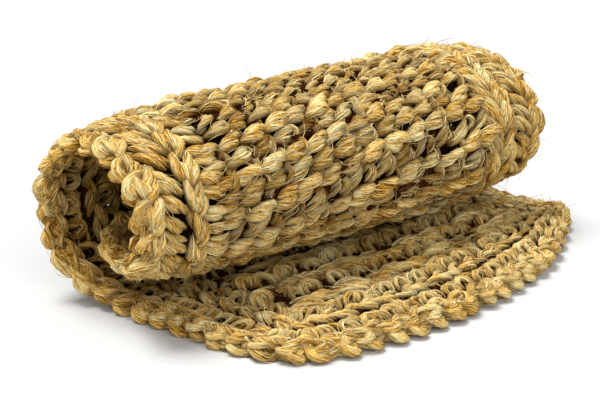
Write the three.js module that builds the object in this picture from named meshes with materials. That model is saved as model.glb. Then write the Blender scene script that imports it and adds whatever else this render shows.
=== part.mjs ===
// A crocheted body-scrub cloth of thick natural fibre yarn, rolled up loosely once, with its free flap
// lying in front of the roll. Millimetres, +Z up. The roll's axis runs along X, the flap points to -Y,
// and the origin is at the middle of the underside's bounding box.
import * as THREE from "three";

// The flat cloth
const clothWidth = 230;
const clothThickness = 9;
const innerRoundDepth = 21; // first round of the crocheted border, next to the panel
const outerRoundDepth = 19; // second round, which ends in the free edge
const nearCornerRadius = 28; // of the flap, at the -X side
const farCornerRadius = 36; // of the flap, at the +X side
const edgeRounding = 3.5; // width over which the free edge's thickness is rounded off
const edgeThickness = 3; // what is left of the thickness at the very edge
const seamGap = 0.4; // clearance between neighbouring pieces

// The crocheted rows of the panel, which stand out as ribs
const rowPitch = 13.6; // length of cloth that one row takes
const ribHeight = 2.2; // from the valley between two rows to the crest of a row
const ribStart = 30; // length wound before the ribs show outside, past the pressed underside
const ribFade = 15; // length over which they rise to their full height
const rowLean = -0.14; // slope of the rows against the roll's axis, where they lean most
const leanPace = 2.5; // how late along the roll they lean most

// How it is rolled, along the middle of its thickness
const rollHalfWidth = 45;
const rollHalfHeight = 36.5;
const nearClearance = 10; // free height between the bottom layer and the tucked layer at the -X end
const farClearance = 4; // the same at the +X end
const tuckPace = 1.6; // how late on its way down the front wall moves inwards
const tuckedTurn = 0.17; // part of a second turn that the inner end makes
const widthFlare = 0.11; // share by which the roll is wider at the +X end than at the -X end
const heightFlare = 0.036; // the same for its height
const windingShift = 0.124; // slope at which the layers creep towards -X as they wind
const tuckNarrowing = 30; // width that the tucked end loses on its -X side
const tuckStart = 175; // length wound before that narrowing starts
const nearCurl = 4.5; // depth to which the -X edge curls into the roll
const farCurl = 6; // the same at the +X edge
const curlWidth = 60; // width over which an edge curls
const curlStart = 60; // length wound until the edges curl fully

// The flap in front
const flapLength = 95; // from the line where the roll rests to the front edge, at mid width
const flapLean = 0.156; // slope of the front edge against the roll's axis, at mid width
const flapBow = 26.8; // how much shorter the flap is at its sides, as its front edge is bowed
const flapShift = 1; // how far the front edge lies towards -X
const flapRise = 1.5; // height of the front edge's +X end above the ground
const riseRun = 30; // length over which the flap rises to it
const foldDistance = 20; // from the resting line to the line about which the flap lifts
const groundFlat = 0.5; // depth to which the underside is pressed flat

// Mesh steps
const turnStep = 6; // length of one step along the roll
const spiralSteps = 600; // steps in which the spiral's length is measured
const ribSteps = 4; // along one row of the panel
const widthSteps = 6; // across the panel
const roundSteps = 2; // across one round of the border
const cornerSteps = 5; // round a corner of the flap
const sideSteps = 5; // along a side of the flap
const frontSteps = 8; // along the front of the flap

const borderDepth = innerRoundDepth + outerRoundDepth;
const halfWidth = clothWidth / 2;
const restHeight = clothThickness / 2; // height of the cloth's middle surface on the ground

// A share from 0 to 1 that starts and ends gently.
function smooth(share) {
  const clamped = Math.min(1, Math.max(0, share));
  return clamped * clamped * (3 - 2 * clamped);
}

// The roll's section at a place across the width, seen along X: a flattened spiral that starts on the
// ground at angle 0, rises at the back, comes down at the front and ends inside, over its bottom layer.
function spiralPoint(angle, across) {
  const nearness = 0.5 - across / clothWidth;
  const clearance = farClearance + (nearClearance - farClearance) * nearness;
  const wound = Math.min(1, Math.max(0, angle / Math.PI - 1));
  const inset = (clothThickness + clearance) * smooth(wound ** tuckPace);
  const side = across / clothWidth;
  return new THREE.Vector2(
    (rollHalfWidth - inset) * Math.sin(angle) * (1 + widthFlare * side),
    (rollHalfHeight - (rollHalfHeight - inset) * Math.cos(angle)) * (1 + heightFlare * side),
  );
}

const angleStep = (2 * Math.PI * (1 + tuckedTurn)) / spiralSteps;
const lengths = [0];
for (let i = 1; i <= spiralSteps; i++) {
  const stretch = spiralPoint(angleStep * i, 0).distanceTo(spiralPoint(angleStep * (i - 1), 0));
  lengths.push(lengths[i - 1] + stretch);
}
const woundLength = lengths[spiralSteps];

// The point and the outward normal of the section, at a length along the cloth from the resting line.
// Negative lengths lie on the ground.
function section(length, across) {
  if (length <= 0) return { point: new THREE.Vector2(length, 0), normal: new THREE.Vector2(0, -1) };
  let i = lengths.findIndex((value) => value >= length);
  if (i < 1) i = spiralSteps;
  const before = spiralPoint(angleStep * (i - 1), across);
  const along = spiralPoint(angleStep * i, across).sub(before);
  const share = (length - lengths[i - 1]) / (lengths[i] - lengths[i - 1]);
  const normal = new THREE.Vector2(along.y, -along.x).normalize();
  return { point: before.addScaledVector(along, share), normal };
}

// How far the cloth has moved inwards at its two edges, which curl into the roll.
function curl(length, across) {
  const depth = across < 0 ? nearCurl : farCurl;
  const share = Math.max(0, (Math.abs(across) - halfWidth + curlWidth) / curlWidth);
  return depth * share * share * smooth(length / curlStart);
}

// The cloth's surface: across is measured from the middle of the width, length from the resting line,
// and lift outward from the middle of the thickness.
function clothPoint(length, across, lift) {
  const { point, normal } = section(length, across);
  const nearness = 0.5 - across / clothWidth;
  const tuck = tuckNarrowing * smooth((length - tuckStart) / (woundLength - tuckStart)) * nearness;
  const slide = (flapShift * Math.min(0, length)) / flapLength - windingShift * Math.max(0, length);
  const rise = flapRise * smooth((-length - foldDistance) / riseRun) * (1 - nearness);
  const out = lift - curl(length, across);
  const z = point.y + normal.y * out + restHeight - groundFlat + rise;
  return new THREE.Vector3(across + slide + tuck, point.x + normal.x * out, Math.max(0, z));
}

// Half the thickness, at a distance from the free edge.
function halfThickness(fromEdge) {
  if (fromEdge >= edgeRounding) return clothThickness / 2;
  const rise = Math.sqrt(1 - (1 - fromEdge / edgeRounding) ** 2);
  return edgeThickness / 2 + ((clothThickness - edgeThickness) / 2) * rise;
}

// How far a face of the cloth lies from the middle of its thickness; side is 1 outside and -1 inside.
// On the panel, row counts the crocheted rows.
function faceLift({ length, fromEdge, row }, side) {
  if (row === undefined) return side * halfThickness(fromEdge);
  const shown = side < 0 ? 1 : smooth((length - ribStart) / ribFade);
  return side * (clothThickness + ribHeight * shown * Math.cos(2 * Math.PI * row)) * 0.5;
}

// A closed piece of cloth over a grid of { length, across, fromEdge, row }, rows by columns.
function clothGeometry(grid) {
  const rows = grid.length;
  const columns = grid[0].length;
  const positions = [];
  for (const side of [1, -1]) {
    for (const row of grid) {
      for (const place of row) {
        positions.push(...clothPoint(place.length, place.across, faceLift(place, side)).toArray());
      }
    }
  }
  const outer = (row, column) => row * columns + column;
  const inner = (row, column) => rows * columns + outer(row, column);
  const index = [];
  const quad = (a, b, c, d) => index.push(a, b, c, a, c, d);
  for (let r = 0; r + 1 < rows; r++) {
    for (let c = 0; c + 1 < columns; c++) {
      quad(outer(r, c), outer(r + 1, c), outer(r + 1, c + 1), outer(r, c + 1));
      quad(inner(r, c), inner(r, c + 1), inner(r + 1, c + 1), inner(r + 1, c));
    }
    quad(outer(r, 0), inner(r, 0), inner(r + 1, 0), outer(r + 1, 0));
    const last = columns - 1;
    quad(outer(r, last), outer(r + 1, last), inner(r + 1, last), inner(r, last));
  }
  for (let c = 0; c + 1 < columns; c++) {
    const last = rows - 1;
    quad(outer(0, c), outer(0, c + 1), inner(0, c + 1), inner(0, c));
    quad(outer(last, c), inner(last, c), inner(last, c + 1), outer(last, c + 1));
  }
  const geometry = new THREE.BufferGeometry();
  geometry.setAttribute("position", new THREE.Float32BufferAttribute(positions, 3));
  geometry.setIndex(index);
  return geometry.toNonIndexed();
}

function spaced(from, to, steps) {
  return Array.from({ length: steps + 1 }, (_, i) => from + ((to - from) * i) / steps);
}

// Depths across one round of the border, measured from the free edge.
function roundDepths(from, to) {
  const start = from === 0 ? [0, edgeRounding / 4, edgeRounding / 2, edgeRounding] : [from];
  return [...start, ...spaced(start.at(-1), to, roundSteps).slice(1)];
}

const outerRound = roundDepths(0, outerRoundDepth - seamGap / 2);
const innerRound = roundDepths(outerRoundDepth + seamGap / 2, borderDepth - seamGap / 2);
const panelHalf = halfWidth - borderDepth - seamGap / 2;
const panelAcross = spaced(-panelHalf, panelHalf, widthSteps);
const foldLine = -foldDistance;

const rollStart = foldLine + seamGap / 2;
const flapEnd = foldLine - seamGap / 2;
const panelEnd = woundLength - borderDepth - seamGap / 2;

// Lengths from the fold to the inner end, in steps no longer than a given one.
function rollLengths(to, step) {
  const flat = spaced(rollStart, 0, Math.ceil(-rollStart / step));
  return [...flat, ...spaced(0, to, Math.ceil(to / step)).slice(1)];
}

// A band along one end of the roll; side is -1 at the -X end and 1 at the +X end.
function rollBand(depths, side) {
  const columns = side < 0 ? depths : [...depths].reverse();
  return rollLengths(woundLength, turnStep).map((length) =>
    columns.map((depth) => ({
      length,
      across: side * (halfWidth - depth),
      fromEdge: Math.min(depth, Math.max(0, woundLength - length)),
    })),
  );
}

// The rows run across the roll at its start and at the panel's end, and lean between them.
function panelOfRoll() {
  return rollLengths(panelEnd, rowPitch / ribSteps).map((length) => {
    const lean = rowLean * Math.sin(Math.PI * Math.max(0, length / panelEnd) ** leanPace);
    return panelAcross.map((across) => ({
      length: length + across * lean,
      across,
      row: length / rowPitch,
    }));
  });
}

// A strip of the border across the tucked inner end, between the two bands along the roll.
function endStrip(depths) {
  return [...depths].reverse().map((depth) =>
    panelAcross.map((across) => ({ length: woundLength - depth, across, fromEdge: depth })),
  );
}

// The front edge leans and is bowed, and the rows behind it are straighter the nearer they lie to the roll.
function flapRow(depth, across) {
  const length = depth - flapLength;
  const bow = flapBow * (across / halfWidth) ** 2;
  return length - (across * flapLean + bow) * (length / flapLength);
}

// One row of the border round the flap, at a depth from the free edge: along the -X side, round the
// corner, along the front, round the other corner and back.
function flapOutline(depth) {
  const kept = 1 - depth / borderDepth;
  const side = halfWidth - depth;
  const edgeAlong = (across, radius) => {
    const lengths = spaced(flapEnd, flapRow(depth + radius, across), sideSteps).slice(0, -1);
    return lengths.map((length) => ({ length, across }));
  };
  const corner = (direction, radius) =>
    spaced(0, Math.PI / 2, cornerSteps).map((turn) => {
      const across = direction * (side - radius * (1 - Math.cos(turn)));
      return { length: flapRow(depth + radius * (1 - Math.sin(turn)), across), across };
    });
  const near = nearCornerRadius * kept;
  const far = farCornerRadius * kept;
  const front = spaced(-side + near, side - far, frontSteps).slice(1, -1);
  const places = [
    ...edgeAlong(-side, near),
    ...corner(-1, near),
    ...front.map((across) => ({ length: flapRow(depth, across), across })),
    ...corner(1, far).reverse(),
    ...edgeAlong(side, far).reverse(),
  ];
  return places.map((place) => ({ ...place, fromEdge: depth }));
}

function flapBorder(depths) {
  return depths.map(flapOutline);
}

function panelOfFlap() {
  const depth = borderDepth + seamGap / 2;
  const back = flapLength + flapEnd;
  const steps = Math.ceil((ribSteps * (back - depth)) / rowPitch);
  return spaced(0, 1, steps).map((share) =>
    panelAcross.map((across) => {
      const front = flapRow(depth, across);
      return {
        length: front + (flapEnd - front) * share,
        across,
        row: (depth + (back - depth) * share - flapLength) / rowPitch,
      };
    }),
  );
}

const strawYarn = { color: 0xc9a45c, roughness: 0.9, metalness: 0 };
const edgeYarn = { color: 0xd2b06a, roughness: 0.9, metalness: 0 };

function piece(name, grid, look) {
  const mesh = new THREE.Mesh(clothGeometry(grid), new THREE.MeshStandardMaterial(look));
  mesh.name = name;
  return mesh;
}

const group = new THREE.Group();
group.add(
  piece("panel_roll", panelOfRoll(), strawYarn),
  piece("panel_flap", panelOfFlap(), strawYarn),
  piece("inner_round_left", rollBand(innerRound, -1), edgeYarn),
  piece("inner_round_right", rollBand(innerRound, 1), edgeYarn),
  piece("inner_round_end", endStrip(innerRound), edgeYarn),
  piece("inner_round_flap", flapBorder(innerRound), edgeYarn),
  piece("outer_round_left", rollBand(outerRound, -1), edgeYarn),
  piece("outer_round_right", rollBand(outerRound, 1), edgeYarn),
  piece("outer_round_end", endStrip(outerRound), edgeYarn),
  piece("outer_round_flap", flapBorder(outerRound), edgeYarn),
);

const bounds = new THREE.Box3().setFromObject(group);
const middle = bounds.getCenter(new THREE.Vector3());
group.position.set(-middle.x, -middle.y, -bounds.min.z);

export default group;
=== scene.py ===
"""A crocheted scrub cloth of thick plant-fibre yarn, rolled up loosely with its flap lying in front.

The cloth is modelled strand by strand. A strand is one visible stretch of yarn: it comes up out of the
cloth, lies over its neighbours and goes down again. Courses of strands follow the cloth's flat pattern,
and the flat pattern is laid along the rolled shape.
"""

from math import cos, pi, radians, sin

import bpy
import numpy as np
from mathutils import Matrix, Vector


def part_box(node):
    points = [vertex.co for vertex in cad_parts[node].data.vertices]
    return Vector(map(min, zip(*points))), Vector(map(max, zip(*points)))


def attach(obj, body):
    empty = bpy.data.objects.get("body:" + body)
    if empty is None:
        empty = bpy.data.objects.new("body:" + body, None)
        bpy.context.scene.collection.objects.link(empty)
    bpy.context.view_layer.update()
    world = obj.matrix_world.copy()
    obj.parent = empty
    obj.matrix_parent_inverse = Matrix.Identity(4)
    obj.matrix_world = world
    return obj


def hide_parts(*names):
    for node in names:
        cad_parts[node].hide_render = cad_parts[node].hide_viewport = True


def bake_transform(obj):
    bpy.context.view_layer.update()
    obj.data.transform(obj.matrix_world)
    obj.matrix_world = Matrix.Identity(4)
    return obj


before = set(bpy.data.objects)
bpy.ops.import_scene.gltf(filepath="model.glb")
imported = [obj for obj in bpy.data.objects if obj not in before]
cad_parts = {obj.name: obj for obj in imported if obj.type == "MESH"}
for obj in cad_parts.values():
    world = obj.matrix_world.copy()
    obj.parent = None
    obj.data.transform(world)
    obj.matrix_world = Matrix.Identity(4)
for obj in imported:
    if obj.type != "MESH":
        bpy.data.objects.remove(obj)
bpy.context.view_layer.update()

# ---------------------------------------------------------------- sizes, in millimetres
MM = 0.001
CLOTH_WIDTH = 230.0
HALF_WIDTH = CLOTH_WIDTH / 2
CLOTH_THICKNESS = 9.0
BORDER_ROUND = 20.0
BORDER_DEPTH = 2 * BORDER_ROUND
CORNER_RADIUS = 28.0
FAR_CORNER_RADIUS = 18.0  # of the flap's corner at the +X side

# The roll. Near means its -X end and far its +X end.
ROLL_HALF_WIDTH = 45.0
ROLL_HALF_HEIGHT = 36.5
NEAR_CLEARANCE = 10.0  # between the outer turn and the end tucked inside
FAR_CLEARANCE = 4.0
TUCK_PACE = 1.6
TUCKED_TURN = 0.17  # how much of a second turn is tucked inside
SPIRAL_POINTS = 1201
SPIRAL_STEP = 0.01  # the step in angle from which the cloth's direction is taken
WIDTH_FLARE = 0.11  # how much wider and higher the far end is
HEIGHT_FLARE = 0.036
WINDING_SHIFT = 0.124  # how far the cloth wanders sideways as it is wound up
TUCK_NARROWING = 30.0
TUCK_START = 175.0
NEAR_CURL = 4.5  # how far the borders curl inwards
FAR_CURL = 6.0
CURL_WIDTH = 60.0
CURL_START = 60.0
FAR_BULGE = 1.8  # how far the roll's front swells towards the far end
BULGE_PACE = 2.6
BULGE_DELAY = 0.3
SAG = 2.2  # how far the panel sinks between the borders at the roll's top
SAG_MIDDLE = 50.0
SAG_HALF_WIDTH = 42.0
NEAR_REACH = 2.6  # how far the near edge stands out at the roll's back, close to the ground
NEAR_REACH_MIDDLE = 44.0
NEAR_REACH_RUN = 34.0

# The flap.
FLAP_LENGTH = 95.0
FLAP_LEAN = 0.166
FLAP_BOW = 26.8
FLAP_SHIFT = 1.0
FLAP_RISE = 1.5
RISE_RUN = 30.0
FAR_PRESS = 2.4  # how far the flap's far edge is pressed flat
PRESS_MIDDLE = -22.0
PRESS_RUN = 40.0
FAR_REACH = 6.0  # how far the flap's far corner is stretched sideways
REACH_START = 60.0
REACH_WIDTH = 55.0
REACH_RUN = 45.0
FAR_DRAW = 10.0  # how far that corner is drawn back
DRAW_START = 50.0
DRAW_WIDTH = 65.0
FOLD_DISTANCE = 20.0
SEAM_GAP = 0.4
REST_HEIGHT = CLOTH_THICKNESS / 2 - 0.5  # of the cloth's middle, as the lowest yarn is pressed flat
LOWEST_LINE = 0.15  # the lowest that the middle of the cloth or of a strand may come
LOWEST_YARN = 0.1  # the lowest that the yarn's surface may come

ROW_PITCH = 13.6  # one crocheted row of the panel, which makes two courses of bumps outside
COURSE_PITCH = ROW_PITCH / 2
STITCH_PITCH = 13.0  # one stitch along a course of the panel
EDGE_PITCH = 11.5  # one stitch along the border
RIB_HEIGHT = 2.2  # from the valley between two rows to the crest of a row
ROW_LEAN = -0.14  # how far the panel's rows turn against the roll's axis at its front
LEAN_PACE = 2.5
COLUMN_LEAN = 0.25  # how far the columns of stitches lean
SLANTED_COURSES = (-3, 5, 11, 20, 27)  # courses whose bumps are thin and steep

# Where the middle of the cloth's width and the resting line lie in the frame.
ORIGIN_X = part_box("outer_round_right")[1][0] - HALF_WIDTH * MM
ORIGIN_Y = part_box("panel_flap")[1][1] + (FOLD_DISTANCE + SEAM_GAP / 2) * MM

rng = np.random.RandomState(11)


# ---------------------------------------------------------------- the rolled shape
def smooth(share):
    share = np.clip(share, 0, 1)
    return share * share * (3 - 2 * share)


def bell(value, middle, reach):
    """1 at the middle, falling smoothly to 0 at the reach on either side."""
    return smooth(1 - np.abs(value - middle) / reach)


def spiral_point(angle, across):
    """The roll's section at a place across the width: a flattened spiral that starts on the ground,
    rises at the back, comes down at the front and ends inside, over its bottom layer."""
    nearness = 0.5 - across / CLOTH_WIDTH
    clearance = FAR_CLEARANCE + (NEAR_CLEARANCE - FAR_CLEARANCE) * nearness
    inset = (CLOTH_THICKNESS + clearance) * smooth(np.clip(angle / pi - 1, 0, 1) ** TUCK_PACE)
    side = across / CLOTH_WIDTH
    y = (ROLL_HALF_WIDTH - inset) * np.sin(angle) * (1 + WIDTH_FLARE * side)
    y -= FAR_BULGE * smooth(BULGE_PACE * side - BULGE_DELAY) * np.maximum(0, -np.sin(angle))
    z = (ROLL_HALF_HEIGHT - (ROLL_HALF_HEIGHT - inset) * np.cos(angle)) * (1 + HEIGHT_FLARE * side)
    return y, z


ANGLES = np.linspace(0, 2 * pi * (1 + TUCKED_TURN), SPIRAL_POINTS)
MIDDLE_Y, MIDDLE_Z = spiral_point(ANGLES, 0.0)
LENGTHS = np.concatenate([[0], np.cumsum(np.hypot(np.diff(MIDDLE_Y), np.diff(MIDDLE_Z)))])
WOUND_LENGTH = LENGTHS[-1]
CLOTH_LENGTH = FLAP_LENGTH + WOUND_LENGTH
PANEL_END = WOUND_LENGTH - BORDER_DEPTH


def cloth_point(length, across, lift):
    """Points in the frame, in metres, from a length past the resting line, a place across the width and
    an outward lift from the middle of the thickness, in millimetres."""
    angle = np.interp(length, LENGTHS, ANGLES)
    y, z = spiral_point(angle, across)
    next_y, next_z = spiral_point(angle + SPIRAL_STEP, across)
    step_y, step_z = next_y - y, next_z - z
    size = np.hypot(step_y, step_z)
    flat = length < 0
    normal_y = np.where(flat, 0, step_z / size)
    normal_z = np.where(flat, -1, -step_y / size)
    beyond = np.maximum(0, length - WOUND_LENGTH)
    y = np.where(flat, length, y - beyond * normal_z)
    z = np.where(flat, 0, z + beyond * normal_y)
    nearness = 0.5 - across / CLOTH_WIDTH
    tuck = TUCK_NARROWING * smooth((length - TUCK_START) / (WOUND_LENGTH - TUCK_START)) * nearness
    slide = FLAP_SHIFT * np.minimum(0, length) / FLAP_LENGTH - WINDING_SHIFT * np.maximum(0, length)
    rise = FLAP_RISE * smooth((-length - FOLD_DISTANCE) / RISE_RUN) * (1 - nearness)
    depth = np.where(across < 0, NEAR_CURL, FAR_CURL)
    curl = depth * np.maximum(0, (np.abs(across) - HALF_WIDTH + CURL_WIDTH) / CURL_WIDTH) ** 2
    sag = SAG * bell(across, SAG_MIDDLE, SAG_HALF_WIDTH) * np.maximum(0, normal_z)
    press = FAR_PRESS * smooth((across - HALF_WIDTH + BORDER_DEPTH) / BORDER_ROUND) * (length < 0)
    press *= bell(length, PRESS_MIDDLE, PRESS_RUN)
    far_corner = smooth((across - REACH_START) / REACH_WIDTH) * smooth(-length / REACH_RUN)
    near_back = bell(length, NEAR_REACH_MIDDLE, NEAR_REACH_RUN) * smooth(2 * nearness - 1)
    out = lift - curl * smooth(length / CURL_START) - sag
    height = np.maximum(LOWEST_LINE, z + normal_z * out + REST_HEIGHT + rise - press)
    slide = slide + FAR_REACH * far_corner - NEAR_REACH * near_back
    place = np.stack([across + slide + tuck, y + normal_y * out, height], -1) * MM
    return place + np.array([ORIGIN_X, ORIGIN_Y, 0])


def row_length(u, v):
    """The length past the resting line of the flat pattern's point u behind the front edge, v across."""
    past = u - FLAP_LENGTH
    share = np.maximum(0, -past / FLAP_LENGTH)
    on_flap = v * FLAP_LEAN + FLAP_BOW * (v / HALF_WIDTH) ** 2
    on_flap = on_flap + FAR_DRAW * smooth((v - DRAW_START) / DRAW_WIDTH)
    on_roll = v * ROW_LEAN * np.sin(pi * np.clip(past / PANEL_END, 0, 1) ** LEAN_PACE)
    return past + on_flap * share + on_roll


def pattern_point(u, v, lift):
    """Points in the frame from a place on the flat pattern."""
    return cloth_point(row_length(u, v), v, lift)


# ---------------------------------------------------------------- courses: places along a row or a round
class PanelRow:
    """A crocheted row of the panel: s runs across the width, d away from the front edge."""

    depth = BORDER_DEPTH

    def __init__(self, u):
        self.u = u

    def place(self, s, d):
        return self.u + d, s + 0 * d


class BorderRound:
    """A round of the border: s runs along the free edge and right round the cloth, d inwards."""

    def __init__(self, depth):
        self.depth = depth
        spans = (CLOTH_LENGTH, CLOTH_WIDTH, CLOTH_LENGTH, CLOTH_WIDTH)
        after = (CORNER_RADIUS, CORNER_RADIUS, FAR_CORNER_RADIUS, CORNER_RADIUS)
        before = after[-1:] + after[:-1]
        self.sides = []
        start = 0.0
        for span, first, second in zip(spans, before, after):
            run = span - max(first, depth) - max(second, depth)
            arc = max(second - depth, 0.0) * pi / 2
            self.sides.append((start, run, arc, span, first, second))
            start += run + arc
        self.total = start

    def place(self, s, d):
        s = np.mod(s, self.total)
        d = self.depth + d
        u, v = np.zeros_like(s), np.zeros_like(s)
        for side, (start, run, arc, span, first, second) in enumerate(self.sides):
            edge, far_edge = np.maximum(first, d), np.maximum(second, d)
            along = edge + (s - start) / run * (span - edge - far_edge)
            on_side = (s >= start) & (s < start + run)
            turn = (s - start - run) / max(arc, 1e-9) * pi / 2
            radius = np.maximum(second - d, 0)
            on_arc = (s >= start + run) & (s < start + run + arc)
            a = np.where(on_side, along, span - far_edge + radius * np.sin(turn))
            b = np.where(on_side, d, far_edge - radius * np.cos(turn))
            if side == 0:
                su, sv = a, b - HALF_WIDTH
            elif side == 1:
                su, sv = CLOTH_LENGTH - b, a - HALF_WIDTH
            elif side == 2:
                su, sv = CLOTH_LENGTH - a, HALF_WIDTH - b
            else:
                su, sv = b, HALF_WIDTH - a
            here = on_side | on_arc
            u, v = np.where(here, su, u), np.where(here, sv, v)
        return u, v


# ---------------------------------------------------------------- strands
# Each shape is a list of points: s in stitches, d and lift in millimetres, and the yarn's radius there.
# Many are laid with a shift of their own, so that strands cross over and under one another.
BUMP = [
    (-0.56, 0.9, -1.1, 1.7),
    (-0.38, 0.8, 0.7, 2.7),
    (-0.10, 0.3, 1.6, 3.2),
    (0.20, -0.3, 1.7, 3.3),
    (0.40, -0.9, 1.0, 2.9),
    (0.52, -1.4, -0.8, 1.9),
]
SLANTED_BUMP = [
    (-0.48, 3.2, -1.0, 1.3),
    (-0.30, 2.4, 0.7, 1.9),
    (0.02, 0.4, 1.5, 2.3),
    (0.28, -1.8, 1.5, 2.2),
    (0.42, -3.2, 0.4, 1.7),
    (0.46, -4.0, -1.0, 1.2),
]
UNDER = [
    (-0.1, -4.4, -0.7, 1.7),
    (0.08, -2.2, 0.6, 2.3),
    (0.12, 0.6, 0.8, 2.3),
    (0.0, 2.8, 0.4, 2.2),
    (-0.12, 4.6, -0.8, 1.7),
]
ARCH = [
    (-0.26, -3.6, -0.6, 1.7),
    (-0.34, -0.8, 1.4, 2.2),
    (-0.22, 2.2, 2.6, 2.4),
    (0.0, 3.3, 2.9, 2.5),
    (0.22, 2.2, 2.6, 2.4),
    (0.34, -0.8, 1.4, 2.2),
    (0.26, -3.6, -0.6, 1.7),
]
STRAIGHT = [
    (-0.78, 1.2, -0.8, 1.4),
    (-0.46, 0.8, 1.2, 2.3),
    (0.0, 0.0, 2.2, 2.7),
    (0.46, -0.8, 1.2, 2.3),
    (0.78, -1.2, -0.8, 1.4),
]
OUTER_ARM = [
    (-0.66, 1.4, -0.6, 1.8),
    (-0.36, 0.8, 1.4, 2.6),
    (0.0, 1.4, 2.4, 3.0),
    (0.34, 2.9, 2.2, 2.7),
    (0.60, 4.4, 0.2, 1.8),
]
INNER_ARM = [
    (-0.66, 7.4, -0.6, 1.8),
    (-0.36, 8.2, 1.4, 2.6),
    (0.0, 7.4, 2.4, 3.0),
    (0.34, 5.8, 2.2, 2.7),
    (0.60, 4.4, 0.2, 1.8),
]
RIM = [
    (-0.32, 9.0, 1.0, 1.5),
    (-0.33, 4.6, 2.1, 2.1),
    (-0.12, 0.4, 1.8, 2.5),
    (0.18, 0.8, 0.6, 2.5),
    (0.30, 5.2, -0.6, 2.0),
    (0.24, 9.4, -1.2, 1.4),
]
FAN = [
    (-0.10, 10.6, 0.2, 1.3),
    (-0.08, 7.0, 1.9, 1.9),
    (0.02, 3.8, 2.0, 2.0),
    (0.08, 1.8, 0.6, 1.7),
    (0.10, 2.0, -0.8, 1.4),
]
LEG = [
    (-0.40, 7.6, -0.8, 1.8),
    (-0.26, 9.8, 1.4, 2.3),
    (0.0, 13.5, 2.4, 2.7),
    (0.26, 17.2, 2.0, 2.5),
    (0.42, 20.4, 0.2, 1.9),
    (0.46, 21.6, -1.0, 1.5),
]

SIDES = 6
RINGS = 9
PLIES = 2
OPEN_EDGE = 8.0  # depth from the free edge down to which light reaches the yarn from all sides
PLY_OFFSET = 0.42  # how far a ply lies from the yarn's middle, as a share of its radius
PLY_RADIUS = 0.7
PLY_UNEVENNESS = 0.05
TWIST_LENGTH = 30.0  # the plies turn once round each other in this length
TWIST_PLAY = 0.5
STEP_OUT = 0.5  # the step in lift from which a strand's outward direction is taken
STRAND_PLAY = (0.8, 0.5, 0.35, 0.09)  # how far a strand strays in s, d and lift, and in its radius
STRAND_SWING = 0.6  # and how far its two ends turn off the course
GRAIN_LENGTH = 10.0  # millimetres of yarn to one unit of the streaks' pattern
GRAIN_STARTS = 500.0
YARN_ROUNDING = 1.8  # how much higher than its middle line the top of a strand counts as lit, so that painted shade falls on its underside

# Fibres that lie on the yarn or stand out from it: count is for one strand, length is in the strand's
# rings, radius and lift are in millimetres.
LYING_FIBRES = dict(sides=3, rings=6, count=4.5, radius=(0.18, 0.36), length=(2.5, 7.0), lift=0.4)
LOOSE_HAIRS = dict(sides=3, rings=6, count=2.8, radius=(0.08, 0.16), length=(1.5, 5.0), lift=3.0)
FIBRE_MARGIN = 1.5  # how many rings of its strand a fibre's middle keeps from either end
FIBRE_SINK = 0.1  # how deep in the yarn a fibre starts
FIBRE_SPREAD = 1.6  # how far round the strand fibres start to either side of its top
FIBRE_BEND = 0.5
FIBRE_RING = 1.6  # length of a fibre to one ring, past the end of its strand
LIFT_SHAPE, LIFT_SCALE = 1.5, 0.5  # few fibres stand out far
SHARED_TONE = 0.5  # how much of its strand's tone a fibre has, the painted shade inside the roll included
SLANT = np.array([0.3, 0.5, 0.8])  # a direction that hardly any fibre runs along


def smooth_line(points, count):
    """Points spaced evenly along a smooth line through the given ones (Catmull-Rom)."""
    ends = np.array([2 * points[0] - points[1], *points, 2 * points[-1] - points[-2]])
    place = np.linspace(0, len(points) - 1 - 1e-9, count)
    first = place.astype(int)
    t = (place - first)[:, None]
    p0, p1, p2, p3 = (ends[first + k] for k in range(4))
    linear_part = 2 * p1 + (p2 - p0) * t
    square_part = (2 * p0 - 5 * p1 + 4 * p2 - p3) * t**2
    cubic_part = (3 * p1 - p0 - 3 * p2 + p3) * t**3
    return 0.5 * (linear_part + square_part + cubic_part)


def tube_faces(count, rings, sides):
    """Faces of closed tubes whose rings of vertices follow one another."""
    per = rings * sides
    start = np.arange(rings - 1)[:, None] * sides
    here = np.arange(sides)[None]
    after = (here + 1) % sides
    quads = np.stack([start + here, start + after, start + sides + after, start + sides + here], -1)
    shift = np.arange(count)[:, None, None] * per
    quads = (quads.reshape(-1, 4)[None] + shift).reshape(-1, 4)
    caps = np.concatenate([here[:, ::-1], here + per - sides])
    caps = (caps[None] + shift).reshape(-1, sides)
    return quads.tolist() + caps.tolist()


def write_attribute(mesh, name, kind, values):
    """Gives each vertex a value that the materials read."""
    attribute = mesh.attributes.new(name, kind, "POINT")
    field = "vector" if kind == "FLOAT_VECTOR" else "value"
    attribute.data.foreach_set(field, np.ascontiguousarray(values, np.float32).ravel())


def new_piece(name, vertices, faces):
    mesh = bpy.data.meshes.new(name)
    mesh.from_pydata(vertices.reshape(-1, 3).tolist(), [], faces)
    mesh.shade_smooth()
    piece = bpy.data.objects.new(name, mesh)
    bpy.context.scene.collection.objects.link(piece)
    return piece


def unit(vectors):
    return vectors / np.maximum(np.linalg.norm(vectors, axis=-1, keepdims=True), 1e-12)


def outward(up, side, angle):
    """Directions out of a line, turned by an angle from its upward to its sideways direction."""
    return up * np.cos(angle)[..., None] + side * np.sin(angle)[..., None]


def rings_round(centre, up, side, radius, sides):
    """Rings of vertices round lines of centres, with the angle of each vertex."""
    angle = np.arange(sides) / sides * 2 * pi
    out = up[..., None, :] * np.cos(angle)[:, None] + side[..., None, :] * np.sin(angle)[:, None]
    return centre[..., None, :] + out * radius[..., None, None], angle


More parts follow.
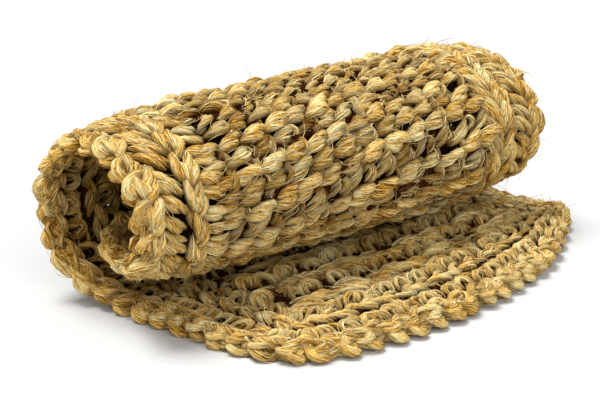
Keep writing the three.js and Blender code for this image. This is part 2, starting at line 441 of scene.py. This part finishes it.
class Strands:
    """Gathers strands of yarn that make one piece."""

    def __init__(self):
        self.lines = []
        self.tones = []

    def add(self, course, shape, s, pitch, face, tone, loose):
        """A strand of a shape at s along a course; face is 1 on the outer side of the cloth, -1 inside."""
        fine = smooth_line(np.array(shape), RINGS)
        moved = rng.normal(0, loose, 4) * STRAND_PLAY
        swing = rng.normal(0, STRAND_SWING * loose) * np.linspace(-1, 1, RINGS)
        depth = fine[:, 1] + moved[1] + swing
        u, v = course.place(s + fine[:, 0] * pitch + moved[0], depth)
        lift, radius = face * (fine[:, 2] + moved[2]), fine[:, 3] * (1 + moved[3])
        self.lines.append((row_length(u, v), v, lift, radius, course.depth + depth))
        self.tones.append(tone + rng.normal(0, 1))

    def shape(self):
        """The strands' middle lines, the directions round them and the turn of their plies."""
        parts = [np.array(part) for part in zip(*self.lines)]
        lengths, across, self.lifts, self.radii, self.depths = parts
        count = len(self.lines)
        self.centre = cloth_point(lengths, across, self.lifts)
        above = cloth_point(lengths, across, self.lifts + STEP_OUT)
        self.tangent = unit(np.gradient(self.centre, axis=1))
        up = above - self.centre
        self.up = unit(up - np.sum(up * self.tangent, 2, keepdims=True) * self.tangent)
        self.side = np.cross(self.tangent, self.up)
        step = np.linalg.norm(np.diff(self.centre, axis=1), axis=2) / MM
        self.travelled = np.concatenate([np.zeros((count, 1)), np.cumsum(step, 1)], 1)
        middle = self.travelled[:, RINGS // 2, None]
        start = pi / 2 + rng.normal(0, TWIST_PLAY, (count, 1))
        self.turn = start + (self.travelled - middle) / TWIST_LENGTH * 2 * pi
        self.tones = np.array(self.tones)

    def build(self, name):
        """The yarn itself: plies turned round each other in each strand."""
        self.shape()
        count = len(self.lines)
        vertices, fibres, rises = [], [], []
        for ply in range(PLIES):
            around = self.turn + ply * 2 * pi / PLIES
            offset = outward(self.up, self.side, around) * (self.radii * PLY_OFFSET * MM)[..., None]
            centre = self.centre + offset
            uneven = 1 + rng.normal(0, PLY_UNEVENNESS, self.radii.shape)
            radius = self.radii * PLY_RADIUS * MM * uneven
            ring, angle = rings_round(centre, self.up, self.side, radius, SIDES)
            vertices.append(ring)
            own = angle - around[..., None]
            along = self.travelled + rng.uniform(0, GRAIN_STARTS, (count, 1))
            along = np.repeat(along[..., None], SIDES, 2)
            fibres.append(np.stack([np.cos(own), np.sin(own), along / GRAIN_LENGTH], -1))
            # The rise sets the painted shade: yarn deep in the cloth and on a strand's underside gets the
            # shade colour, while the tops of strands and the yarn near the free edge stay lit.
            face = np.sign(self.lifts[:, RINGS // 2])[:, None, None]
            height = self.lifts[..., None] * face + face * np.cos(angle) * YARN_ROUNDING
            open_edge = 1 - self.depths[..., None] / OPEN_EDGE
            rises.append(np.clip(np.maximum(height / (CLOTH_THICKNESS / 2), open_edge), 0, 1))
        vertices = np.stack(vertices, 1)
        vertices[..., 2] = np.maximum(vertices[..., 2], LOWEST_YARN * MM)
        piece = new_piece(name, vertices, tube_faces(PLIES * count, RINGS, SIDES))
        write_attribute(piece.data, "fibre", "FLOAT_VECTOR", np.stack(fibres, 1))
        write_attribute(piece.data, "tone", "FLOAT", np.repeat(self.tones, PLIES * RINGS * SIDES))
        write_attribute(piece.data, "rise", "FLOAT", np.stack(rises, 1))
        return piece

    def build_fibres(self, name, sides, rings, count, radius, length, lift):
        """Single fibres that leave the surface of the yarn; length is in rings of the strand."""
        total = int(len(self.lines) * count)
        strand = rng.randint(0, len(self.lines), total)
        face = np.sign(self.lifts[strand, RINGS // 2])[:, None]
        size = rng.uniform(*length, (total, 1)) * rng.choice([-1.0, 1.0], (total, 1))
        middle = rng.uniform(FIBRE_MARGIN, RINGS - 1 - FIBRE_MARGIN, (total, 1))
        share = np.linspace(0, 1, rings)[None]
        place = middle + size * (share - 0.5)
        inside = np.clip(place, 0, RINGS - 1.001)
        first = inside.astype(int)
        part = inside - first
        picked = strand[:, None]

        def at(values):
            weight = part[..., None] if values.ndim == 3 else part
            return values[picked, first] * (1 - weight) + values[picked, first + 1] * weight

        centre, up, side, radii = (at(values) for values in (self.centre, self.up, self.side, self.radii))
        past = (place - inside)[..., None] * at(self.tangent) * FIBRE_RING * MM
        ply = rng.randint(0, PLIES, (total, 1)) * 2 * pi / PLIES
        around = at(self.turn) + ply
        bend = rng.normal(0, FIBRE_BEND, (total, 1))
        own = rng.uniform(-FIBRE_SPREAD, FIBRE_SPREAD, (total, 1))
        own = own + np.where(face < 0, pi, 0) + bend * share
        leave = lift * rng.gamma(LIFT_SHAPE, LIFT_SCALE, (total, 1)) * share**2
        surface = radii * PLY_RADIUS - FIBRE_SINK + leave
        to_ply = outward(up, side, around) * (radii * PLY_OFFSET)[..., None]
        to_fibre = outward(up, side, own) * surface[..., None]
        line = centre + (to_ply + to_fibre) * MM + past
        tangent = unit(np.gradient(line, axis=1))
        across = unit(np.cross(tangent, SLANT))
        taper = np.sin(pi * (0.12 + 0.8 * share))  # thinner towards both ends
        thick = rng.uniform(*radius, (total, 1)) * taper * MM
        vertices, _ = rings_round(line, across, np.cross(tangent, across), thick, sides)
        vertices[..., 2] = np.maximum(vertices[..., 2], LOWEST_YARN * MM)
        piece = new_piece(name, vertices, tube_faces(total, rings, sides))
        tone = self.tones[strand] * SHARED_TONE + rng.normal(0, 1, total)
        write_attribute(piece.data, "tone", "FLOAT", np.repeat(tone, rings * sides))
        return piece


# ---------------------------------------------------------------- which piece a strand belongs to
FOLD_HALF_RUN = 12
FOLD_START = -FOLD_DISTANCE + FOLD_HALF_RUN  # the cloth bends between these two lengths as the flap lifts
FOLD_END = -FOLD_DISTANCE - FOLD_HALF_RUN
STRAND_REACH = 7  # how far a strand reaches to either side of its middle
INSIDE_SHADE_TONE = -1.6  # painted shade: the yarn on the inside of the roll is made browner and darker

groups = {}


def lay(course, shape, s, pitch, kind, face=1, tone=0.0, loose=1.0):
    """Adds a strand to the piece of its kind that moves as the cloth does there."""
    middle = shape[len(shape) // 2]
    u, v = course.place(np.array([s + middle[0] * pitch]), np.array([middle[1]]))
    length, across = float(row_length(u, v)[0]), float(v[0])
    where = "fold"
    if length > FOLD_START + STRAND_REACH:
        where = "roll"
    elif length < FOLD_END - STRAND_REACH:
        where = "flap"
    part = kind
    if kind == "border" and where == "roll":
        part = "near_border" if across < -HALF_WIDTH + BORDER_DEPTH else "end_border"
        part = "far_border" if across > HALF_WIDTH - BORDER_DEPTH else part
    layer = "outside" if face > 0 else "inside"
    # Painted shade on the yarn inside the roll.
    if where == "roll" and face < 0:
        tone += INSIDE_SHADE_TONE
    group = groups.setdefault(f"{part}_{layer}_{where}", Strands())
    group.add(course, shape, s, pitch, face, tone, loose)


def shifted(shape, s=0.0, d=0.0, lift=0.0):
    """A strand's shape moved by s stitches, d and lift millimetres."""
    return [(place[0] + s, place[1] + d, place[2] + lift, place[3]) for place in shape]


def thinner(shape, share):
    """A strand's shape in yarn that has only a share of its thickness."""
    return [(s, d, lift, radius * share) for s, d, lift, radius in shape]


OUTSIDE_PLAY = 1.2  # how loosely the strands of the panel lie, against 1 in the border
INSIDE_PLAY = 1.8
COURSE_DRIFT = 0.8  # how far the stitches of a course drift against those of the last
COURSE_TONE = 0.25
STRAIGHT_YARN = 0.88  # how thick the panel's straight strands are, as a share of their shape's radius
INSIDE_YARN = 0.66  # and the border's strands inside
PANEL_OVERLAP = 0.3 * STITCH_PITCH  # how far the panel's courses reach under the border
# The loops round the free edge lie in pairs: face, shift along the edge in stitches, share of the radius.
EDGE_LOOPS = ((1, 0.0, 1.0), (-1, 0.16, 0.84))


def panel():
    """The panel: courses of bumps outside, and arches and straight strands inside."""
    half = HALF_WIDTH - BORDER_DEPTH
    straight = thinner(STRAIGHT, STRAIGHT_YARN)
    first = -int((FLAP_LENGTH - BORDER_DEPTH) / COURSE_PITCH)
    last = int((PANEL_END - 1) / COURSE_PITCH)
    drift = 0.0
    for number in range(first, last + 1):
        course = PanelRow(FLAP_LENGTH + number * COURSE_PITCH)
        crest = RIB_HEIGHT / 4 * cos(number * pi)
        drift += rng.normal(0, COURSE_DRIFT)
        offset = (COLUMN_LEAN * course.u + drift) % STITCH_PITCH
        bump = SLANTED_BUMP if number in SLANTED_COURSES else BUMP
        if number % 3 == 0:
            inside = [shifted(ARCH, d=1.0)]
        elif number % 3 == 2:
            inside = [shifted(straight, 0.25, 1.0, -0.9)]
        else:
            inside = [shifted(straight, d=0.4), shifted(straight, 0.5, 4.2)]
        tone = rng.normal(0, COURSE_TONE)
        for s in np.arange(-half + offset - PANEL_OVERLAP, half + PANEL_OVERLAP, STITCH_PITCH):
            for shape in (shifted(bump, lift=crest), shifted(UNDER, 0.5)):
                lay(course, shape, s, STITCH_PITCH, "panel", 1, tone, OUTSIDE_PLAY)
            for shape in inside:
                lay(course, shape, s, STITCH_PITCH, "panel", -1, loose=INSIDE_PLAY)


def border():
    """The border: in each round a plait along its outer side and legs that lean inwards, and at the
    free edge loops that reach round from one face to the other."""
    outer_arm, inner_arm, arch = (thinner(shape, INSIDE_YARN) for shape in (OUTER_ARM, INNER_ARM, ARCH))
    outside = [shifted(OUTER_ARM, d=2.2), shifted(INNER_ARM, 0.15), LEG, shifted(LEG, 0.46)]
    inside = [shifted(outer_arm, d=2.6), shifted(inner_arm, 0.3, 1.0)]
    inside += [shifted(arch, d=13.4), shifted(arch, 0.5, 14.4, -0.6)]
    for depth in (0.0, BORDER_ROUND):
        course = BorderRound(depth)
        stitches = int(round(course.total / EDGE_PITCH))
        pitch = course.total / stitches
        for stitch in range(stitches):
            s = stitch * pitch
            if depth == 0.0:
                for face, forward, share in EDGE_LOOPS:
                    for shape in (RIM, FAN):
                        lay(course, thinner(shifted(shape, forward), share), s, pitch, "border", face)
            for face, shapes in ((1, outside), (-1, inside)):
                for shape in shapes:
                    lay(course, shape, s, pitch, "border", face)


panel()
border()


# ---------------------------------------------------------------- the dark sheet inside the cloth, painted shade
SHEET_INSET = 12  # how far the dark sheet stays behind the free edge, where the border is open
OPEN_INSET = 50  # and the most it stays behind it at the roll's near end, where the border is looser
OPEN_MIDDLE = 72  # length along the roll at which that opening is widest
OPEN_REACH = 34
OPEN_PACE = 1.6
SHEET_HALF_THICKNESS = 0.7
SHEET_STEP = 3.2  # size of one face of the dark sheet


def shade_sheet(name, start, end):
    """A closed thin sheet between the cloth's two faces of strands, from one place to another along the
    flat cloth, counted from its front edge. Its near-black colour is painted shade in the gaps between the
    strands."""
    columns = int((CLOTH_WIDTH - 2 * SHEET_INSET) / SHEET_STEP)
    rows = int((end - start) / SHEET_STEP)
    v = np.linspace(-HALF_WIDTH + SHEET_INSET, HALF_WIDTH - SHEET_INSET, columns)
    share = np.linspace(0, 1, rows)
    # The front corners are drawn in, as the cloth's own corners are round.
    near = CORNER_RADIUS * np.clip(1 - (v + HALF_WIDTH) / CORNER_RADIUS, 0, 1) ** 2
    far = FAR_CORNER_RADIUS * np.clip(1 - (HALF_WIDTH - v) / FAR_CORNER_RADIUS, 0, 1) ** 2
    front = start + (near + far) * (start <= SHEET_INSET)
    uu = front[None] + (end - front[None]) * share[:, None]
    from_opening = np.abs(uu - FLAP_LENGTH - OPEN_MIDDLE)
    opening = (OPEN_INSET - SHEET_INSET) * smooth(OPEN_PACE - OPEN_PACE * from_opening / OPEN_REACH)
    vv = v + opening * (HALF_WIDTH - SHEET_INSET - v) / (CLOTH_WIDTH - 2 * SHEET_INSET)
    layers = [pattern_point(uu, vv, side * SHEET_HALF_THICKNESS) for side in (1, -1)]
    size = rows * columns
    first = (np.arange(rows - 1)[:, None] * columns + np.arange(columns - 1)).ravel()
    quads = np.stack([first, first + columns, first + columns + 1, first + 1], -1)
    faces = quads.tolist() + (quads[:, ::-1] + size).tolist()
    ring = list(range(columns))
    ring += [i * columns + columns - 1 for i in range(1, rows)]
    ring += [(rows - 1) * columns + j for j in range(columns - 2, -1, -1)]
    ring += [i * columns for i in range(rows - 2, 0, -1)]
    faces += [(a, b, size + b, size + a) for a, b in zip(ring, ring[1:] + ring[:1])]
    return new_piece(name, np.concatenate([layer.reshape(-1, 3) for layer in layers]), faces)


# ---------------------------------------------------------------- materials
def linear(red, green, blue):
    """A colour given in screen values from 0 to 255."""
    parts = [part / 255 for part in (red, green, blue)]
    return tuple(p / 12.92 if p <= 0.04045 else ((p + 0.055) / 1.055) ** 2.4 for p in parts) + (1.0,)


def connect(links, node, **values):
    """Sets a node's inputs by name, with spaces as underscores, from constants or from other sockets."""
    for name, value in values.items():
        socket = node.inputs[name.replace("_", " ")]
        if isinstance(value, bpy.types.NodeSocket):
            links.new(value, socket)
        else:
            socket.default_value = value
    return node


# Where the yarn's streaks, its cracks and its painted shade go from one colour to the next.
BROWN_TO_STRAW = (0.37, 0.475)
STRAW_TO_PALE = (0.475, 0.59)
CRACK_TO_YARN = (0.33, 0.41)
SHADE_TO_LIT = (0.2, 0.95)
FINE_SHARE, BROAD_SHARE, TONE_STEP = 0.72, 0.28, 0.022
STREAK_DEPTH = 0.0016  # in metres
FIBRE_TONES = 2.0  # the tones of single fibres run from minus this to this


def yarn_group():
    """The look that both yarns share: streaks along the plies, and painted shade deep down in the cloth,
    on the undersides of strands and in the cracks between fibres.
    """
    group = bpy.data.node_groups.new("crochet_yarn", "ShaderNodeTree")
    face = group.interface
    for name, kind in (("Fibre", "Vector"), ("Tone", "Float"), ("Rise", "Float")):
        face.new_socket(name, in_out="INPUT", socket_type="NodeSocket" + kind)
    for name in ("Deep", "Middle", "Pale", "Hollow"):
        face.new_socket(name, in_out="INPUT", socket_type="NodeSocketColor")
    face.new_socket("Color", in_out="OUTPUT", socket_type="NodeSocketColor")
    face.new_socket("Normal", in_out="OUTPUT", socket_type="NodeSocketVector")
    nodes, links = group.nodes, group.links
    given = nodes.new("NodeGroupInput").outputs
    result = nodes.new("NodeGroupOutput")

    def stretched_noise(around, along, detail):
        mapping = connect(links, nodes.new("ShaderNodeMapping"), Vector=given["Fibre"])
        mapping.inputs["Scale"].default_value = (around, around, along)
        noise = nodes.new("ShaderNodeTexNoise")
        connect(links, noise, Vector=mapping.outputs[0], Scale=1.0, Detail=detail, Roughness=0.65)
        return noise.outputs["Fac"]

    def spread(value, limits):
        node = nodes.new("ShaderNodeMapRange")
        connect(links, node, Value=value, From_Min=limits[0], From_Max=limits[1])
        return node.outputs["Result"]

    def maths(kind, first, second):
        node = nodes.new("ShaderNodeMath")
        node.operation = kind
        for socket, value in zip(node.inputs, (first, second)):
            if isinstance(value, bpy.types.NodeSocket):
                links.new(value, socket)
            else:
                socket.default_value = value
        return node.outputs[0]

    def mixed(share, first, second):
        node = nodes.new("ShaderNodeMix")
        node.data_type = "RGBA"
        links.new(share, node.inputs["Factor"])
        links.new(first, node.inputs["A"])
        links.new(second, node.inputs["B"])
        return node.outputs["Result"]

    fine = stretched_noise(around=4.6, along=1.5, detail=3.0)
    broad = stretched_noise(around=1.4, along=0.7, detail=2.0)
    streaks = maths("ADD", maths("MULTIPLY", fine, FINE_SHARE), maths("MULTIPLY", broad, BROAD_SHARE))
    toned = maths("ADD", streaks, maths("MULTIPLY", given["Tone"], TONE_STEP))
    brown = mixed(spread(toned, BROWN_TO_STRAW), given["Deep"], given["Middle"])
    straw = mixed(spread(toned, STRAW_TO_PALE), brown, given["Pale"])
    # Cracks between the fibres are painted shade, drawn in the shade colour.
    cracks = stretched_noise(around=6.5, along=0.9, detail=1.0)
    lined = mixed(spread(cracks, CRACK_TO_YARN), given["Hollow"], straw)
    # Painted shade: the shade colour where the rise is low.
    shaded = mixed(spread(given["Rise"], SHADE_TO_LIT), given["Hollow"], lined)
    links.new(shaded, result.inputs["Color"])
    bump = nodes.new("ShaderNodeBump")
    connect(links, bump, Strength=1.0, Distance=STREAK_DEPTH, Height=streaks)
    links.new(bump.outputs["Normal"], result.inputs["Normal"])
    return group


YARN_GROUP = yarn_group()


def new_material(name):
    """A new material with its nodes and their links."""
    material = bpy.data.materials.new(name)
    material.use_nodes = True
    return material, material.node_tree.nodes, material.node_tree.links


def yarn_material(name, deep, middle, pale, shade_colour):
    """Twisted plant-fibre yarn, in three tones of streaks, with a painted shade colour deep in the cloth,
    under strands and in its cracks.
    """
    material, nodes, links = new_material(name)
    yarn = nodes.new("ShaderNodeGroup")
    yarn.node_tree = YARN_GROUP
    for attribute_name in ("fibre", "tone", "rise"):
        attribute = nodes.new("ShaderNodeAttribute")
        attribute.attribute_name = attribute_name
        output = "Vector" if attribute_name == "fibre" else "Fac"
        links.new(attribute.outputs[output], yarn.inputs[attribute_name.capitalize()])
    connect(links, yarn, Deep=deep, Middle=middle, Pale=pale, Hollow=shade_colour)
    shader = connect(links, nodes["Principled BSDF"], Roughness=0.8, Specular_IOR_Level=0.05)
    links.new(yarn.outputs["Color"], shader.inputs["Base Color"])
    links.new(yarn.outputs["Normal"], shader.inputs["Normal"])
    return material


def fibre_material(name, dark, pale):
    """Single fibres, each in a tone of its own."""
    material, nodes, links = new_material(name)
    tone = nodes.new("ShaderNodeAttribute")
    tone.attribute_name = "tone"
    spread = nodes.new("ShaderNodeMapRange")
    connect(links, spread, Value=tone.outputs["Fac"], From_Min=-FIBRE_TONES, From_Max=FIBRE_TONES)
    mix = nodes.new("ShaderNodeMix")
    mix.data_type = "RGBA"
    links.new(spread.outputs["Result"], mix.inputs["Factor"])
    mix.inputs["A"].default_value = dark
    mix.inputs["B"].default_value = pale
    shader = connect(links, nodes["Principled BSDF"], Roughness=0.7, Specular_IOR_Level=0.1)
    links.new(mix.outputs["Result"], shader.inputs["Base Color"])
    return material


def shade_sheet_material(name, colour):
    """Painted shade: a near-black colour for the depth of the cloth between its two faces of yarn."""
    material, nodes, links = new_material(name)
    connect(links, nodes["Principled BSDF"], Base_Color=colour, Roughness=1.0, Specular_IOR_Level=0.0)
    return material


# The colour of painted shade, for yarn deep in the cloth, under strands and in the cracks between fibres.
shade_colour = linear(62, 28, 2)
panel_colours = (linear(126, 79, 20), linear(252, 197, 84), linear(255, 246, 192))
border_colours = (linear(122, 76, 19), linear(248, 192, 80), linear(255, 244, 186))
panel_yarn = yarn_material("panel_yarn", *panel_colours, shade_colour)
border_yarn = yarn_material("border_yarn", *border_colours, shade_colour)
loose_fibre = fibre_material("loose_fibre", linear(140, 88, 24), linear(255, 238, 172))
# Near-black, painted shade in the gaps between the strands.
painted_shade_sheet = shade_sheet_material("painted_shade_sheet", linear(17, 9, 2))

# The solids of the frame that each piece of yarn stands for.
REPLACED = {
    "panel_outside_roll": ["panel_roll"],
    "panel_inside_flap": ["panel_flap"],
    "near_border_outside_roll": ["inner_round_left", "outer_round_left"],
    "far_border_outside_roll": ["inner_round_right", "outer_round_right"],
    "end_border_outside_roll": ["inner_round_end", "outer_round_end"],
    "border_inside_flap": ["inner_round_flap", "outer_round_flap"],
}


def finish_piece(piece, where, material):
    """Gives a piece its material and the body that it moves with; a piece at the fold gets no body, only
    its place baked into its mesh.
    """
    piece.data.materials.append(material)
    if where == "fold":
        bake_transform(piece)
    else:
        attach(piece, where)


roll_pieces, flap_pieces = [], []
for name, strands in groups.items():
    where = name.split("_")[-1]
    is_panel = name.startswith("panel")
    yarn = strands.build(name + "_yarn")
    finish_piece(yarn, where, panel_yarn if is_panel else border_yarn)
    lying = strands.build_fibres(name + "_fibres", **LYING_FIBRES)
    finish_piece(lying, where, loose_fibre)
    hairs = strands.build_fibres(name + "_hairs", **LOOSE_HAIRS)
    finish_piece(hairs, where, loose_fibre)
    if name in REPLACED:
        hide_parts(*REPLACED[name])
    (roll_pieces if where == "roll" else flap_pieces).extend([yarn, lying, hairs])

# The dark sheet of painted shade is cut where the fold starts, because only the part in front of it bends
# with the flap.
sheet_cut = FLAP_LENGTH + FOLD_START
roll_shade_sheet = shade_sheet("roll_shade_sheet", sheet_cut, CLOTH_LENGTH - SHEET_INSET)
finish_piece(roll_shade_sheet, "roll", painted_shade_sheet)
flap_shade_sheet = shade_sheet("flap_shade_sheet", SHEET_INSET, sheet_cut)
finish_piece(flap_shade_sheet, "fold", painted_shade_sheet)


# ---------------------------------------------------------------- floor, light and camera
FLOOR_SIZE = 8.0
FLOOR_COLOUR = (0.55, 0.55, 0.55, 1)
FLOOR_GLOW = 0.02  # light that the floor adds to what falls on it, so that only the shadow is darker
WORLD_LIGHT = 0.34
WHITE = (1, 1, 1, 1)


def seen_directly(nodes, links):
    """1 for what the camera sees, also in metal or through glass, and 0 for light on the object."""
    path = nodes.new("ShaderNodeLightPath")
    seen = path.outputs["Is Camera Ray"]
    for ray in ("Is Glossy Ray", "Is Transmission Ray"):
        either = nodes.new("ShaderNodeMath")
        either.operation = "MAXIMUM"
        links.new(seen, either.inputs[0])
        links.new(path.outputs[ray], either.inputs[1])
        seen = either.outputs[0]
    return seen


def floor_material():
    """A white floor that keeps the object's shadow."""
    material, nodes, links = new_material("floor_white")
    shader = connect(links, nodes["Principled BSDF"], Base_Color=FLOOR_COLOUR, Roughness=0.9)
    glow = nodes.new("ShaderNodeMapRange")
    connect(links, glow, Value=seen_directly(nodes, links), To_Max=FLOOR_GLOW)
    connect(links, shader, Emission_Color=WHITE, Emission_Strength=glow.outputs["Result"])
    return material


def studio():
    """The floor, a white world that lights the cloth evenly, and two soft lamps."""
    bpy.ops.object.select_all(action="DESELECT")
    bpy.ops.mesh.primitive_plane_add(size=FLOOR_SIZE, location=(0, 0, 0))
    floor = bpy.context.object
    floor.name = "floor"
    floor.data.materials.append(floor_material())
    world = bpy.data.worlds.new("studio")
    world.use_nodes = True
    nodes, links = world.node_tree.nodes, world.node_tree.links
    nodes["Background"].inputs["Color"].default_value = WHITE
    strength = nodes.new("ShaderNodeMapRange")
    connect(links, strength, Value=seen_directly(nodes, links), To_Min=WORLD_LIGHT, To_Max=1.0)
    links.new(strength.outputs["Result"], nodes["Background"].inputs["Strength"])
    bpy.context.scene.world = world

    def sun(name, place, softness, strength):
        """A lamp far away in the direction of its place, with its softness in degrees."""
        light = bpy.data.lights.new(name, "SUN")
        light.angle = radians(softness)
        light.energy = strength
        lamp = bpy.data.objects.new(name, light)
        lamp.location = place
        lamp.rotation_euler = (-Vector(place)).to_track_quat("-Z", "Y").to_euler()
        bpy.context.scene.collection.objects.link(lamp)

    sun("key_light", (-0.2, 0.28, 1.1), softness=28, strength=4.0)
    sun("front_fill", (-0.6, -1.15, 0.85), softness=40, strength=1.5)


def camera():
    """The camera in front of the open end, a little above the cloth, looking at the middle of the roll."""
    azimuth, elevation, distance = radians(-45.53), radians(16.08), 0.8121
    target = Vector((ORIGIN_X - 0.0286, ORIGIN_Y - 0.01142, 0.0323))
    back = Vector((sin(azimuth) * cos(elevation), -cos(azimuth) * cos(elevation), sin(elevation)))
    data = bpy.data.cameras.new("camera")
    data.sensor_width = 36
    data.lens = 117.6
    data.clip_start = 0.01
    view = bpy.data.objects.new("camera", data)
    view.location = target + back * distance
    view.rotation_euler = (-back).to_track_quat("-Z", "Y").to_euler()
    bpy.context.scene.collection.objects.link(view)
    bpy.context.scene.camera = view


studio()
camera()
bpy.context.scene.view_settings.view_transform = "Standard"
